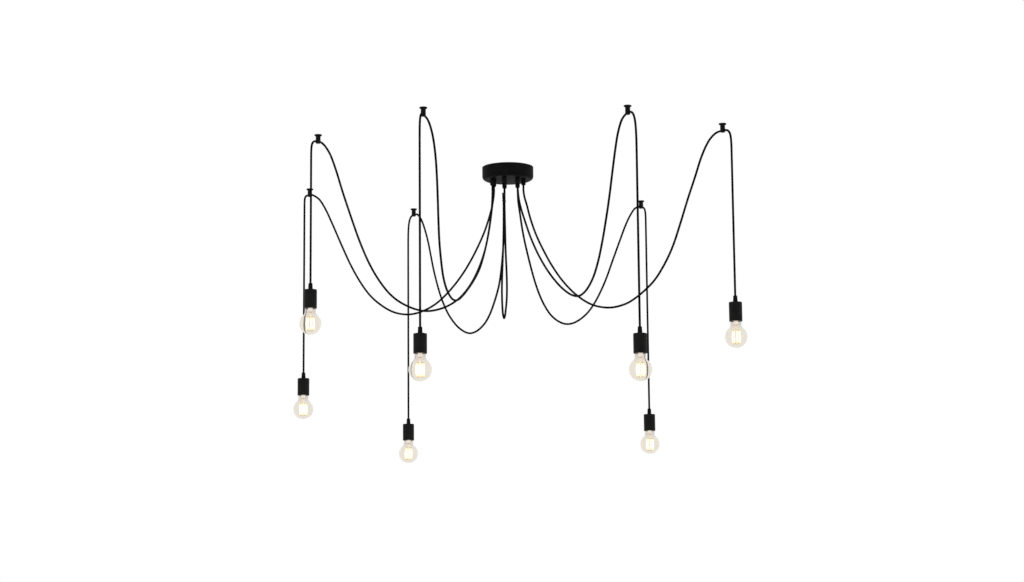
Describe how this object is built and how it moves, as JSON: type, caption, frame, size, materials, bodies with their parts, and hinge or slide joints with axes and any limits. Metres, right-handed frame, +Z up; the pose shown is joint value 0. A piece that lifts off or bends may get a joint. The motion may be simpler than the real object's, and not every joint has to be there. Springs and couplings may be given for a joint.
{
  "type": "swag pendant light",
  "caption": "Swag pendant light: black cords loop from a round canopy through hooks in the ceiling and hang down to cylindrical lampholders with round clear filament bulbs.",
  "frame": {"origin": "middle of the ceiling bracket's top face, on the ceiling, at the canopy's centre", "axes": "+Z up into the ceiling, +X to the right of the picture, +Y away from the camera"},
  "size_m": [1.3284, 1.5316, 0.8358],
  "materials": {
    "canopy": "satin black paint",
    "bracket": "zinc plated steel strip",
    "terminal": "matt white plastic",
    "screw": "plated steel",
    "grip": "matt black plastic",
    "hook": "satin black plastic",
    "cord": "black braided textile over a round cable",
    "sleeve": "matt heat-shrink sleeve",
    "tie": "black nylon band",
    "holder": "satin black paint",
    "bulb": "clear glass, lit warm white inside"
  },
  "bodies": {
    "ceiling_parts": {"canopy_cup": "canopy", "ceiling_bracket": "bracket", "terminal_block": "terminal", "terminal_screw": "screw", "earth_screw": "screw", "canopy_screw_1": "screw", "canopy_screw_2": "screw", "canopy_grip_1": "grip", "canopy_grip_2": "grip", "canopy_grip_3": "grip", "canopy_grip_4": "grip", "canopy_grip_5": "grip", "canopy_grip_6": "grip", "canopy_grip_7": "grip", "canopy_grip_8": "grip", "ceiling_hook_1": "hook", "ceiling_hook_2": "hook", "ceiling_hook_3": "hook", "ceiling_hook_4": "hook", "ceiling_hook_5": "hook", "ceiling_hook_6": "hook", "ceiling_hook_7": "hook", "swag_cord_1": "cord", "swag_cord_2": "cord", "swag_cord_3": "cord", "swag_cord_4": "cord", "swag_cord_5": "cord", "swag_cord_6": "cord", "swag_cord_7": "cord", "spare_lead": "cord", "spare_lead_sleeve": "sleeve", "spare_lead_tie": "tie"},
    "hanging_lamp_1": {"drop_cord_1": "cord", "holder_grip_1": "grip", "lamp_holder_1": "holder"},
    "screwed_bulb_1": {"bulb_1": "bulb"},
    "hanging_lamp_2": {"drop_cord_2": "cord", "holder_grip_2": "grip", "lamp_holder_2": "holder"},
    "screwed_bulb_2": {"bulb_2": "bulb"},
    "hanging_lamp_3": {"drop_cord_3": "cord", "holder_grip_3": "grip", "lamp_holder_3": "holder"},
    "screwed_bulb_3": {"bulb_3": "bulb"},
    "hanging_lamp_4": {"drop_cord_4": "cord", "holder_grip_4": "grip", "lamp_holder_4": "holder"},
    "screwed_bulb_4": {"bulb_4": "bulb"},
    "hanging_lamp_5": {"drop_cord_5": "cord", "holder_grip_5": "grip", "lamp_holder_5": "holder"},
    "screwed_bulb_5": {"bulb_5": "bulb"},
    "hanging_lamp_6": {"drop_cord_6": "cord", "holder_grip_6": "grip", "lamp_holder_6": "holder"},
    "screwed_bulb_6": {"bulb_6": "bulb"},
    "hanging_lamp_7": {"drop_cord_7": "cord", "holder_grip_7": "grip", "lamp_holder_7": "holder"},
    "screwed_bulb_7": {"bulb_7": "bulb"}
  },
  "joints": [
    {"name": "lamp_swing_1", "type": "hinge", "parent": "ceiling_parts", "child": "hanging_lamp_1", "pos_m": [0.43213, 0.5205, -0.0205], "axis": [0.6399, 0.7685, 0], "range_deg": [-25, 25]},
    {"name": "lamp_swing_2", "type": "hinge", "parent": "ceiling_parts", "child": "hanging_lamp_2", "pos_m": [-0.31212, 0.61789, -0.0205], "axis": [-0.4664, 0.8846, 0], "range_deg": [-25, 25]},
    {"name": "lamp_swing_3", "type": "hinge", "parent": "ceiling_parts", "child": "hanging_lamp_3", "pos_m": [-0.62533, 0.2863, -0.0205], "axis": [-0.9098, 0.415, 0], "range_deg": [-25, 25]},
    {"name": "lamp_swing_4", "type": "hinge", "parent": "ceiling_parts", "child": "hanging_lamp_4", "pos_m": [-0.53654, -0.45502, -0.0205], "axis": [-0.7325, -0.6808, 0], "range_deg": [-25, 25]},
    {"name": "lamp_swing_5", "type": "hinge", "parent": "ceiling_parts", "child": "hanging_lamp_5", "pos_m": [-0.22592, -0.76613, -0.0205], "axis": [-0.239, -0.971, 0], "range_deg": [-25, 25]},
    {"name": "lamp_swing_6", "type": "hinge", "parent": "ceiling_parts", "child": "hanging_lamp_6", "pos_m": [0.32662, -0.76575, -0.0205], "axis": [0.3776, -0.926, 0], "range_deg": [-25, 25]},
    {"name": "lamp_swing_7", "type": "hinge", "parent": "ceiling_parts", "child": "hanging_lamp_7", "pos_m": [0.60283, -0.54661, -0.0205], "axis": [0.713, -0.7012, 0], "range_deg": [-25, 25]},
    {"name": "bulb_turn_1", "type": "hinge", "parent": "hanging_lamp_1", "child": "screwed_bulb_1", "pos_m": [0.44748, 0.53894, -0.7497], "axis": [0, 0, -1], "range_deg": [0, 1440]},
    {"name": "bulb_turn_2", "type": "hinge", "parent": "hanging_lamp_2", "child": "screwed_bulb_2", "pos_m": [-0.33241, 0.65637, -0.7617], "axis": [0, 0, -1], "range_deg": [0, 1440]},
    {"name": "bulb_turn_3", "type": "hinge", "parent": "hanging_lamp_3", "child": "screwed_bulb_3", "pos_m": [-0.6428, 0.29426, -0.6543], "axis": [0, 0, -1], "range_deg": [0, 1440]},
    {"name": "bulb_turn_4", "type": "hinge", "parent": "hanging_lamp_4", "child": "screwed_bulb_4", "pos_m": [-0.55456, -0.47176, -0.5013], "axis": [0, 0, -1], "range_deg": [0, 1440]},
    {"name": "bulb_turn_5", "type": "hinge", "parent": "hanging_lamp_5", "child": "screwed_bulb_5", "pos_m": [-0.23453, -0.80109, -0.6765], "axis": [0, 0, -1], "range_deg": [0, 1440]},
    {"name": "bulb_turn_6", "type": "hinge", "parent": "hanging_lamp_6", "child": "screwed_bulb_6", "pos_m": [0.34622, -0.81381, -0.6831], "axis": [0, 0, -1], "range_deg": [0, 1440]},
    {"name": "bulb_turn_7", "type": "hinge", "parent": "hanging_lamp_7", "child": "screwed_bulb_7", "pos_m": [0.62422, -0.56765, -0.5631], "axis": [0, 0, -1], "range_deg": [0, 1440]}
  ]
}
